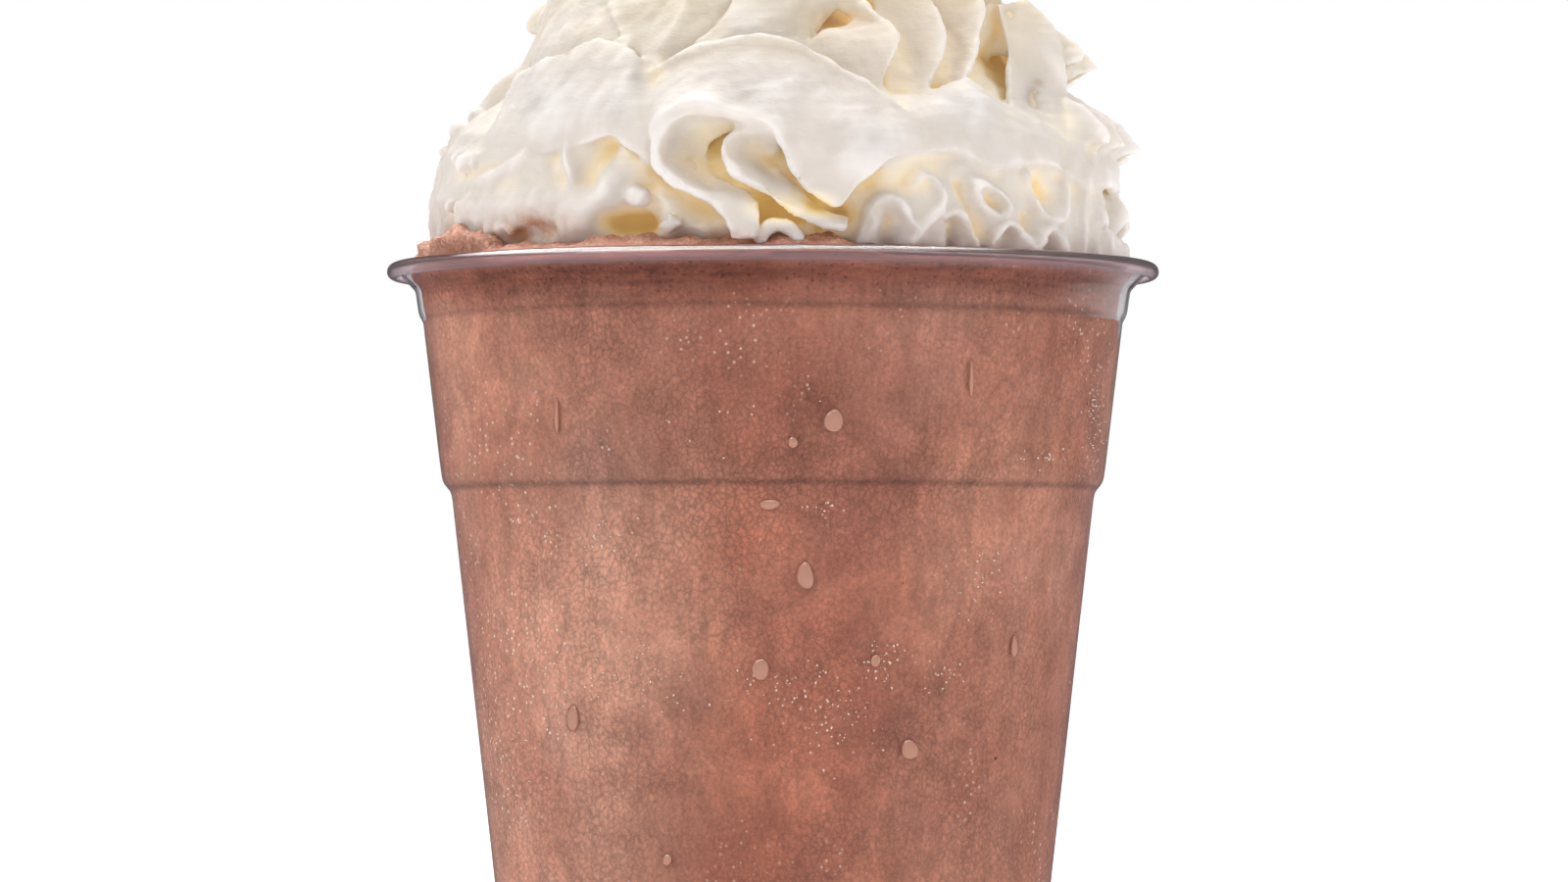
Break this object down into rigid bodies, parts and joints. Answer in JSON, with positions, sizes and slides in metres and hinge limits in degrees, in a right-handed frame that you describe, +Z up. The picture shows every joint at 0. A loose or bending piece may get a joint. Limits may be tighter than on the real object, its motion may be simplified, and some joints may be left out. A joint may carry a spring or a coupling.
{
  "type": "chocolate milkshake",
  "caption": "Chocolate milkshake filling a clear plastic cup with a rolled rim, topped with a tall pile of ruffled piped whipped cream.",
  "frame": {"origin": "middle of the cup's foot ring, on the surface that it stands on", "axes": "+Z up along the cup's axis; -Y is the front, the side that faces the viewer; +X is the viewer's right"},
  "size_m": [0.098, 0.098, 0.1765],
  "materials": {
    "clear_plastic": "clear glossy PET, thin-walled, with a few drops of condensation on the outside",
    "chocolate_shake": null,
    "whipped_cream": null
  },
  "bodies": {
    "root": {"cup": "clear_plastic", "milkshake": "chocolate_shake", "whipped_cream": "whipped_cream"}
  },
  "joints": []
}
